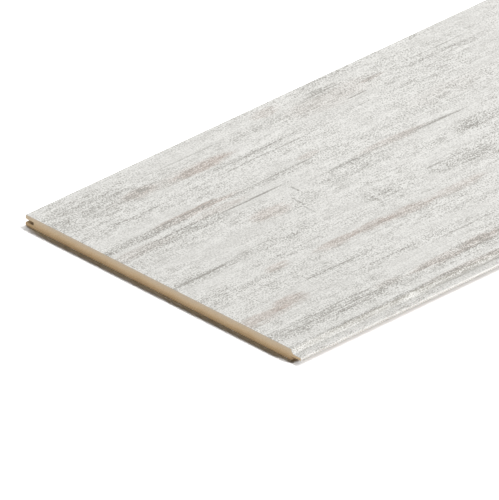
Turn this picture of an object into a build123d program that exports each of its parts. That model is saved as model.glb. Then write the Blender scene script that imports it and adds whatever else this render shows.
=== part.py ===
"""Tongue-and-groove MDF wall panel with a printed decor foil, lying face up.

The panel is one plank of MDF whose section runs unchanged from end to end. A thin printed foil is
pressed onto the face and wrapped round both long edges: down the side of the groove's upper lip,
and down the step and over the tongue on the other edge. The face stops short of the next panel
there, so that fitted panels show an open joint. The two short ends are plain saw cuts, and the back
is bare board.

Axes: +X runs across the width, from the groove to the tongue. +Y runs along the length. +Z points
out of the decor face. The origin is at the middle of the overall width and length, on the back.
All sizes are in millimetres.
"""
from build123d import *
import os

os.makedirs("parts", exist_ok=True)

# Driving sizes of the panel
length = 2600.0
cover_width = 250.0
thickness = 8.0
foil_thickness = 0.25

# Groove in the long edge at -X
groove_depth = 7.5
groove_height = 2.3
upper_lip = 3.1
groove_lead_in = 0.4
groove_root_radius = 0.3

# Tongue on the long edge at +X, sized to slide into the groove of the next panel
tongue_clearance = 0.1
tongue_end_gap = 1.0
tongue_nose_chamfer = 0.5

# Open joint that the face leaves beside the next panel, with the step down to the tongue
joint_gap = 2.3
step_lean = 0.8

# Edges that the foil is wrapped round
groove_arris_radius = 0.8
step_top_radius = 0.8
step_foot_radius = 2.5
tongue_nose_radius = 0.8

# Heights above the back
groove_top = thickness - upper_lip
groove_bottom = groove_top - groove_height
tongue_top = groove_top - tongue_clearance
tongue_bottom = groove_bottom + tongue_clearance

# Places across the width, from the groove to the tongue
tongue_length = groove_depth - tongue_end_gap
overall_width = cover_width + tongue_length
groove_edge = -overall_width / 2
groove_root = groove_edge + groove_depth
joint_edge = groove_edge + cover_width
face_end = joint_edge - joint_gap
step_foot = face_end + step_lean
tongue_tip = joint_edge + tongue_length

# Line of the foil's outer surface, from the groove's mouth over the face to the tongue's nose
foil_line = [
    (groove_edge, groove_top + groove_lead_in),
    (groove_edge, thickness),
    (face_end, thickness),
    (step_foot, tongue_top),
    (tongue_tip, tongue_top),
    (tongue_tip, tongue_bottom + tongue_nose_chamfer),
]
foil_radii = [groove_arris_radius, step_top_radius, step_foot_radius, tongue_nose_radius]

# Bare board from the tongue's nose round the back to the groove's mouth
bare_line = [
    foil_line[-1],
    (tongue_tip - tongue_nose_chamfer, tongue_bottom),
    (face_end, tongue_bottom),
    (face_end, 0),
    (groove_edge, 0),
    (groove_edge, groove_bottom - groove_lead_in),
    (groove_edge + groove_lead_in, groove_bottom),
    (groove_root, groove_bottom),
    (groove_root, groove_top),
    (groove_edge + groove_lead_in, groove_top),
    foil_line[0],
]

# Decor foil: a strip of even thickness that follows the face and both wrapped edges
with BuildPart() as decor_foil:
    with BuildSketch(Plane.XZ):
        with BuildLine():
            FilletPolyline(*foil_line, radius=foil_radii)
            offset(amount=foil_thickness, side=Side.RIGHT)
        make_face()
    extrude(amount=length / 2, both=True)

# MDF board: the whole section with the groove and the tongue, less the room that the foil takes
with BuildPart() as mdf_board:
    with BuildSketch(Plane.XZ) as board_section:
        with BuildLine():
            FilletPolyline(*foil_line, radius=foil_radii)
            Polyline(*bare_line)
        make_face()
        groove_corners = board_section.vertices().filter_by(
            lambda corner: abs(corner.X - groove_root) < groove_lead_in
        )
        fillet(groove_corners, radius=groove_root_radius)
    extrude(amount=length / 2, both=True)
    add(decor_foil.part, mode=Mode.SUBTRACT)

mdf_board.part.label = "mdf_board"
decor_foil.part.label = "decor_foil"
export_step(mdf_board.part, "parts/mdf_board.step")
export_step(decor_foil.part, "parts/decor_foil.step")

print("overall", overall_width, "x", length, "x", thickness, "mm")
print("tongue", tongue_length, "long", round(tongue_top - tongue_bottom, 3), "thick")
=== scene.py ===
import bmesh
import bpy
import math
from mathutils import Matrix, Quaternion, Vector


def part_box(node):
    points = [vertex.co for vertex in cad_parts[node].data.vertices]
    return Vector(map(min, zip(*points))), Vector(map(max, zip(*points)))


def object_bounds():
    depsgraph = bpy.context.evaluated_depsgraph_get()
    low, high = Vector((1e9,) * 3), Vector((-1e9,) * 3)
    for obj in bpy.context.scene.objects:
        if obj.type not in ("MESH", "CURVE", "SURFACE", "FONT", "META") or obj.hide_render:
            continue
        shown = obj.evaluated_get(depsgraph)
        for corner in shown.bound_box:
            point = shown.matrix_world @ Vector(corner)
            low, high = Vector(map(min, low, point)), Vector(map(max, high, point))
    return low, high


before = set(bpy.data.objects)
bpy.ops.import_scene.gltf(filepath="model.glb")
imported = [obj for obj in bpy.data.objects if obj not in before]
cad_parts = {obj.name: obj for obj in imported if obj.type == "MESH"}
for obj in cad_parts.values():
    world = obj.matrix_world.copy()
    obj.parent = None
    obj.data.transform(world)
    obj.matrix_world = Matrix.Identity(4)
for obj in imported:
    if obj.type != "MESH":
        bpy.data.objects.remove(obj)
cad_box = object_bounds()

# Board: one plank of medium-density fibreboard, pressed from wood fibre and resin and then milled
# with a groove and a tongue. It shows bare at the sawn ends, inside the groove and on the back.


class Shade:
    """One output of a material's nodes. Arithmetic on it adds Math nodes."""

    def __init__(self, tree, socket=None):
        self.tree = tree
        self.socket = socket

    def node(self, kind, inputs=None, output=0, stops=(), **settings):
        """Adds a node: its settings first, then the values or links of its sockets."""
        made = self.tree.nodes.new(kind)
        for name, value in settings.items():
            setattr(made, name, value)
        for index, (place, colour) in enumerate(stops):
            elements = made.color_ramp.elements
            stop = elements[index] if index < len(elements) else elements.new(place)
            stop.position, stop.color = place, colour
        for key, value in (inputs or {}).items():
            if isinstance(value, Shade):
                self.tree.links.new(value.socket, made.inputs[key])
            else:
                made.inputs[key].default_value = value
        return Shade(self.tree, made.outputs[output])

    def output(self, name):
        return Shade(self.tree, self.socket.node.outputs[name])

    def math(self, operation, *values):
        return self.node("ShaderNodeMath", dict(enumerate(values)), operation=operation)

    def __add__(self, other):
        return self.math("ADD", self, other)

    def __sub__(self, other):
        return self.math("SUBTRACT", self, other)

    def __rsub__(self, other):
        return self.math("SUBTRACT", other, self)

    def __mul__(self, other):
        return self.math("MULTIPLY", self, other)

    def __truediv__(self, other):
        return self.math("DIVIDE", self, other)

    __radd__ = __add__
    __rmul__ = __mul__

    def step(self, low, high):
        """0 below low, 1 above high and a soft step between."""
        sockets = {"Value": self, "From Min": low, "From Max": high}
        return self.node("ShaderNodeMapRange", sockets, interpolation_type="SMOOTHSTEP")

    def under(self, colour, amount):
        """This colour with another one laid over it, by an amount from 0 to 1."""
        sockets = {0: amount, 6: self, 7: colour}
        return self.node("ShaderNodeMix", sockets, output=2, data_type="RGBA")

    def noise(self, size, detail=2.0, seed=0.0, roughness=0.5):
        """Cloudy noise about 0.5 on these coordinates, with blotches of that size."""
        scale = [1 / length for length in size]
        sockets = {"Vector": self, "Location": (seed, seed, seed), "Scale": scale}
        moved = self.node("ShaderNodeMapping", sockets)
        sockets = {"Vector": moved, "Scale": 1.0, "Detail": detail, "Roughness": roughness}
        return self.node("ShaderNodeTexNoise", sockets)

    def feed(self, shader, name):
        """Links this value into a shader's input."""
        self.tree.links.new(self.socket, shader.inputs[name])


def swatch(red, green, blue):
    """A colour named by its 0 to 255 values, as the linear colour that a shader takes."""
    linear = []
    for value in (red, green, blue):
        part = value / 255
        linear.append(part / 12.92 if part <= 0.04045 else ((part + 0.055) / 1.055) ** 2.4)
    return (*linear, 1.0)


def finish_material(name, roughness_value=0.5, specular=0.5):
    """A new material with its Principled shader's plain values set."""
    material = bpy.data.materials.new(name)
    material.use_nodes = True
    shader = material.node_tree.nodes["Principled BSDF"]
    shader.inputs["Roughness"].default_value = roughness_value
    shader.inputs["Specular IOR Level"].default_value = specular
    return material, shader


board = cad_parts["mdf_board"]
mm = 0.001
# The board's own tan by height, made darker towards the bottom: painted shade where the floor
# before the cut end lies in shadow.
board_tones_and_painted_shade = (
    (0.0, swatch(166, 136, 100)),
    (0.1, swatch(170, 141, 104)),
    (0.27, swatch(189, 161, 122)),
    (0.45, swatch(206, 179, 142)),
    (0.63, swatch(209, 187, 155)),
    (0.85, swatch(209, 191, 167)),
)
fibre_dark = swatch(150, 122, 88)
fibre_light = swatch(232, 216, 190)
fibre_show = 0.5
relief_depth = 0.1 * mm

board_material, board_shader = finish_material("bare_mdf", roughness_value=0.9, specular=0.2)
board_nodes = Shade(board_material.node_tree)
place = board_nodes.node("ShaderNodeTexCoord", output="Object")
height = place.node("ShaderNodeSeparateXYZ", {"Vector": place}, output="Z") / cad_box[1][2]
fibres = place.noise((0.5 * mm, 0.9 * mm, 0.3 * mm), detail=4.0, seed=3.1, roughness=0.65)
clouds = place.noise((18 * mm, 30 * mm, 18 * mm), detail=3.0, seed=7.7)
tone_place = height + (clouds - 0.5) * 0.3
colour = height.node("ShaderNodeValToRGB", {"Fac": tone_place}, stops=board_tones_and_painted_shade)
colour = colour.under(fibre_dark, fibres.step(0.52, 0.25) * fibre_show)
colour = colour.under(fibre_light, fibres.step(0.48, 0.75) * fibre_show)
colour.feed(board_shader, "Base Color")
sockets = {"Height": fibres, "Strength": 0.4, "Distance": relief_depth}
place.node("ShaderNodeBump", sockets).feed(board_shader, "Normal")
board.material_slots[0].material = board_material

# Decor foil: a thin film printed with a whitewashed old-pine pattern and pressed onto the board. It
# is wrapped down the groove's upper lip on one edge, and down the step and over the tongue on the
# other.
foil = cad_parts["decor_foil"]
foil_low, foil_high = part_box("decor_foil")
foil_material, foil_shader = finish_material("printed_foil", roughness_value=0.5, specular=0.2)
foil_nodes = Shade(foil_material.node_tree)
place = foil_nodes.node("ShaderNodeTexCoord", output="Object")

# The print's own coordinates in millimetres: across from the groove's edge, unrolled down both
# edges, and along from the near end.
corner = place.node("ShaderNodeSeparateXYZ", {"Vector": place})
offset = corner.output("X") - (foil_low[0] + foil_high[0]) / 2
drop = (foil_high[2] - corner.output("Z")) / mm
across = (corner.output("X") - foil_low[0]) / mm + offset.math("SIGN", offset) * drop
along = (corner.output("Y") - foil_low[1]) / mm
sheet = place.node("ShaderNodeCombineXYZ", {"X": across, "Y": along})
sway = (sheet.noise((55, 150, 1), detail=1.0, seed=2.0) - 0.5) * 4.0
wobble = (sheet.noise((7, 34, 1), detail=1.0, seed=9.0) - 0.5) * 2.0
swayed = place.node("ShaderNodeCombineXYZ", {"X": across + sway + wobble, "Y": along})

# Worn marks where old wood shows through the whitewash. Each row gives the place across and along,
# the half width and half length, all in millimetres, and the depth.
warm_marks = (
    (33, 125, 7, 34, 1.3),
    (30, 72, 7, 18, 0.9),
    (32, 100, 7, 70, 0.3),
    (74, 80, 5, 46, 1.6),
    (83, 95, 5, 30, 0.5),
    (88, 20, 6, 40, 0.5),
    (94, 238, 5, 40, 0.65),
    (109, 115, 9, 22, 0.9),
    (71, 185, 4, 12, 0.6),
    (25, 250, 14, 50, 0.4),
    (246.5, 160, 3, 56, 1.1),
    (167, 118, 6, 24, 1.0),
    (167, 150, 6, 24, 0.9),
    (168, 180, 6, 30, 1.1),
    (168, 225, 6, 34, 0.7),
    (164, 68, 5, 14, 0.9),
    (206, 12, 8, 34, 1.0),
    (203, 42, 8, 20, 1.0),
    (230, 150, 6, 36, 1.1),
    (228, 192, 6, 26, 1.3),
    (229, 105, 5, 14, 0.5),
    (70, 310, 12, 40, 0.15),
    (24, 288, 3, 14, 0.5),
    (10, 205, 6, 16, 0.6),
)
grey_marks = (
    # The first row has a negative depth: it lightens the tongue's nose along its whole length and
    # evens its texture, a painted highlight.
    (261.8, 150, 2.2, 500, -0.7),
    (236, 90, 5, 170, 0.5),
    (172, 150, 5, 220, 0.35),
    (166, 25, 9, 60, 0.5),
    (156, 90, 5, 40, 0.4),
    (211, 30, 4, 40, 0.4),
    (204, 90, 5, 50, 0.3),
    (28, 90, 14, 50, 0.35),
    (76, 130, 5, 150, 0.3),
    (104, 30, 10, 50, 0.25),
    (150, 275, 8, 30, 0.4),
    (4, 265, 6, 40, 0.8),
    (42, 210, 8, 40, 0.35),
    (117, 150, 5, 40, 0.4),
    (190, 220, 5, 40, 0.4),
    (52, 25, 4, 50, 0.4),
    (25, 25, 22, 60, 0.8),
    (76, 20, 5, 80, 2.0),
    (77, 150, 4, 60, 0.6),
    (89, 40, 7, 70, 0.9),
    (138, 15, 7, 46, 0.8),
    (138, 80, 6, 60, 0.6),
    (96, 230, 4, 80, 0.4),
    (104, 200, 10, 60, 0.4),
    (140, 190, 9, 26, 0.8),
    (143, 255, 9, 36, 1.0),
    (113, 295, 10, 24, 1.3),
    (152, 60, 5, 30, 0.4),
    (230, 40, 9, 110, 1.0),
    (230, 170, 7, 50, 0.5),
    (247.2, 80, 3, 130, 0.7),
    (247.8, 160, 3.5, 60, 1.7),
    (31, 350, 5, 50, 0.4),
    (15, 250, 5, 24, 0.9),
    (43, 150, 5, 60, 0.5),
    (190, 100, 3, 40, 0.6),
    (206, 175, 4, 60, 0.3),
    (20, 170, 4, 50, 0.2),
    (25, 240, 16, 60, 0.2),
)
dark_lines = (
    (17, 120, 0.9, 44, 0.9),
    (43, 150, 0.9, 44, 1.0),
    (51, 60, 0.9, 70, 1.0),
    (50, 170, 0.9, 60, 1.0),
    (73, 70, 1.1, 60, 1.0),
    (75, 160, 0.9, 55, 1.0),
    (87.5, 118, 1.3, 40, 1.7),
    (85, 60, 1.0, 40, 0.8),
    (96, 200, 1.0, 44, 0.9),
    (96, 278, 1.3, 34, 1.6),
    (138, 20, 1.3, 40, 1.2),
    (190, 100, 0.9, 40, 1.1),
    (203, 120, 0.9, 44, 1.0),
    (209, 190, 0.9, 40, 0.9),
    (226, 50, 1.0, 60, 0.9),
    (231, 60, 1.1, 70, 1.2),
    (247.2, 90, 1.8, 110, 0.5),
    (249.9, 120, 2.6, 240, 0.7),
    # This row darkens the foot of the step where it meets the tongue: partly print, partly painted
    # shade in the crease.
    (252.4, 200, 2.2, 110, 1.1),
    (23, 330, 0.9, 60, 0.9),
    (30, 345, 1.1, 44, 0.9),
    (15, 250, 0.9, 22, 1.2),
    (34, 265, 1.0, 12, 1.4),
    (137, 235, 1.0, 10, 1.4),
    (149, 150, 0.9, 50, 0.7),
    (29, 77, 2.2, 7, 1.0),
    (97, 148, 6, 1.2, 1.4),
    (110, 138, 8, 1.0, 1.2),
    (124, 136, 8, 1.0, 0.8),
    (142, 176, 10, 1.4, 0.8),
)

# Streaky noise that breaks up the edges of the marks
ragged = (swayed.noise((3, 30, 1), detail=3.0, seed=15.0, roughness=0.7) - 0.5) * 5.0 + 1.1


def marks_cover(marks):
    """The sum of soft ovals with broken edges on the swayed sheet."""
    total = 0.0
    for across_mm, along_mm, half_width, half_length, depth in marks:
        sockets = {"Location": (across_mm, along_mm, 0), "Scale": (half_width, half_length, 1)}
        sockets["Vector"] = swayed
        mark = swayed.node("ShaderNodeMapping", sockets, vector_type="TEXTURE")
        sockets = {"Vector": mark}
        oval = mark.node(
            "ShaderNodeTexGradient", sockets, output="Fac", gradient_type="SPHERICAL"
        )
        total = (oval * ragged).step(0.0, 0.6) * depth + total
    return total


# The fine texture: soft mottle, sandy grit, long fibres and broad streaks
mottle = swayed.noise((5, 14, 1), detail=3.0, seed=5.0, roughness=1.0) - 0.5
grit = sheet.noise((1.0, 1.3, 1), detail=1.0, seed=8.0, roughness=0.9) - 0.5
fibres = swayed.noise((1.8, 110, 1), detail=2.0, seed=4.0, roughness=0.9) - 0.5
streaks = swayed.noise((12, 130, 1), detail=2.0, seed=6.0) - 0.5

# Past the part with the marks above, streaks like them come from noise.
marks_end = 400
noise_start = 480
beyond = (across + along).step(marks_end, noise_start)


def drifting(seed, marks, lowest):
    """Cover of the marks, and of noise streaks where the marks end."""
    drift = swayed.noise((10, 120, 1), detail=2.0, seed=seed).step(lowest, lowest + 0.14) * beyond
    return marks_cover(marks) + drift


warm = drifting(21.0, warm_marks, 0.58)
grey = drifting(47.0, grey_marks, 0.54)
line = marks_cover(dark_lines)

# How strongly the fine texture shows. It is stronger in the marks and in drifting patches.
texture = mottle * 2.0 + grit * 3.0 + fibres * 0.8
patches = sheet.noise((22, 90, 1), detail=2.0, seed=12.0).step(0.35, 0.65)
contrast = warm * 0.3 + grey * 0.7 + patches * 0.7 + 0.45
even_wear = 0.25
worn = warm * 0.12 + grey * 0.22 + line * 0.38 + streaks * 0.3
wear = texture * contrast + worn + even_wear

# The colour is a little greyer towards the near end, with warm old wood and grey wear over it.
near_wash = swatch(219, 218, 214)
far_wash = swatch(228, 227, 223)
old_wood = swatch(188, 166, 154)
old_wood_show = 0.48
grey_wear = swatch(140, 137, 130)
wash_length = 300.0
wash = (along / wash_length).step(0.0, 1.0)
colour = wash.node(
    "ShaderNodeValToRGB", {"Fac": wash}, stops=((0.0, near_wash), (1.0, far_wash))
)
broken = fibres * 2.4 + mottle * 2.4 + grit * 4.0 + 1.0
colour = colour.under(old_wood, warm * broken * old_wood_show)
colour = colour.under(grey_wear, wear)
colour.feed(foil_shader, "Base Color")
sockets = {"Height": grit + mottle, "Strength": 0.3, "Distance": relief_depth}
place.node("ShaderNodeBump", sockets).feed(foil_shader, "Normal")
foil.material_slots[0].material = foil_material

# Floor: a plain pale studio floor. The camera sees it as white, with the panel's shadow on it, and
# it throws only a little light back up under the panel's edges.


def eye_rays(nodes):
    """1 for rays that the eye follows: straight, mirrored or through glass."""
    ray = nodes.node("ShaderNodeLightPath", output="Is Camera Ray")
    seen = ray.math("MAXIMUM", ray, ray.output("Is Glossy Ray"))
    return seen.math("MAXIMUM", seen, ray.output("Is Transmission Ray"))


# The floor's colour for the eye is above white, so that the faint edge of a shadow stays white, as
# it does on the overexposed floor of a studio picture.
floor_half = 60.0
floor_bounce = (0.3, 0.3, 0.3, 1)
floor_seen = (1.65, 1.65, 1.65, 1)
floor_mesh = bpy.data.meshes.new("floor")
plane = bmesh.new()
bmesh.ops.create_grid(plane, x_segments=1, y_segments=1, size=floor_half)
bmesh.ops.translate(plane, verts=plane.verts, vec=(0, 0, cad_box[0][2]))
plane.to_mesh(floor_mesh)
plane.free()
floor = bpy.data.objects.new("floor", floor_mesh)
bpy.context.collection.objects.link(floor)
floor_material, floor_shader = finish_material("floor", roughness_value=1.0, specular=0.0)
floor_nodes = Shade(floor_material.node_tree)
sockets = {0: eye_rays(floor_nodes), 6: floor_bounce, 7: floor_seen}
floor_colour = floor_nodes.node("ShaderNodeMix", sockets, output=2, data_type="RGBA")
floor_colour.feed(floor_shader, "Base Color")
floor.data.materials.append(floor_material)

# Light: an arch of soft far lamps behind the panel, from its left round to its right, which leaves
# the floor before the near end dark, and a low pair from the front right for the cut end. One of
# that pair doesn't bounce, which keeps its light off the dark band of floor.


def sun(name, energy, spread, aim):
    """A far lamp in the direction of aim."""
    lamp = bpy.data.lights.new(name, "SUN")
    lamp.energy = energy
    lamp.angle = math.radians(spread)
    stand = bpy.data.objects.new(name, lamp)
    stand.rotation_euler = aim.to_track_quat("Z", "Y").to_euler()
    bpy.context.collection.objects.link(stand)
    return lamp


floor_light = 3.3
arch_height = math.radians(52)
arch_spread = 16

# Turn of each lamp from straight behind, in degrees, and its share of the floor's light
shares = (
    (-66, 0.09),
    (-45, 0.14),
    (-22, 0.12),
    (0, 0.25),
    (22, 0.1),
    (51, 0.3),
)
for turn, share in shares:
    reach = math.radians(turn)
    back = math.cos(reach)
    aim = Vector((math.sin(reach), back * math.cos(arch_height), back * math.sin(arch_height)))
    sun("arch", share * floor_light / aim.z, arch_spread, aim)

front_spread = 0.5
front_aim = Vector((0.8, -1.0, 0.01))
sun("front", 1.15, front_spread, front_aim)
sun("front", 1.6, front_spread, front_aim).cycles.max_bounces = 0

world = bpy.data.worlds.new("room")
world.use_nodes = True
bpy.context.scene.world = world
room = Shade(world.node_tree)
background = world.node_tree.nodes["Background"]
background.inputs["Color"].default_value = (1, 1, 1, 1)
eye_rays(room).feed(background, "Strength")

# Camera: a very long lens, because the photograph's edges run parallel. It looks down on the near
# end from its right, and the far part of the panel runs out of the picture.
lens = 1692.0
sensor = 36.0
frame_height = 500
pixels_per_metre = 1552.65
camera_side = math.radians(46.374)
camera_height = math.radians(29.16)
camera_roll = math.radians(-0.333)
target = Vector((0.00705, -1.22935, 0.008))
distance = frame_height / pixels_per_metre * lens / sensor
to_camera = Vector((
    math.sin(camera_side) * math.cos(camera_height),
    -math.cos(camera_side) * math.cos(camera_height),
    math.sin(camera_height),
))
camera = bpy.data.cameras.new("camera")
camera.lens = lens
camera.sensor_width = sensor
camera.clip_end = 500.0
camera_object = bpy.data.objects.new("camera", camera)
camera_object.location = target + distance * to_camera
facing = to_camera.to_track_quat("Z", "Y") @ Quaternion((0, 0, 1), camera_roll)
camera_object.rotation_euler = facing.to_euler()
bpy.context.collection.objects.link(camera_object)
bpy.context.scene.camera = camera_object

bpy.context.scene.view_settings.view_transform = "Standard"
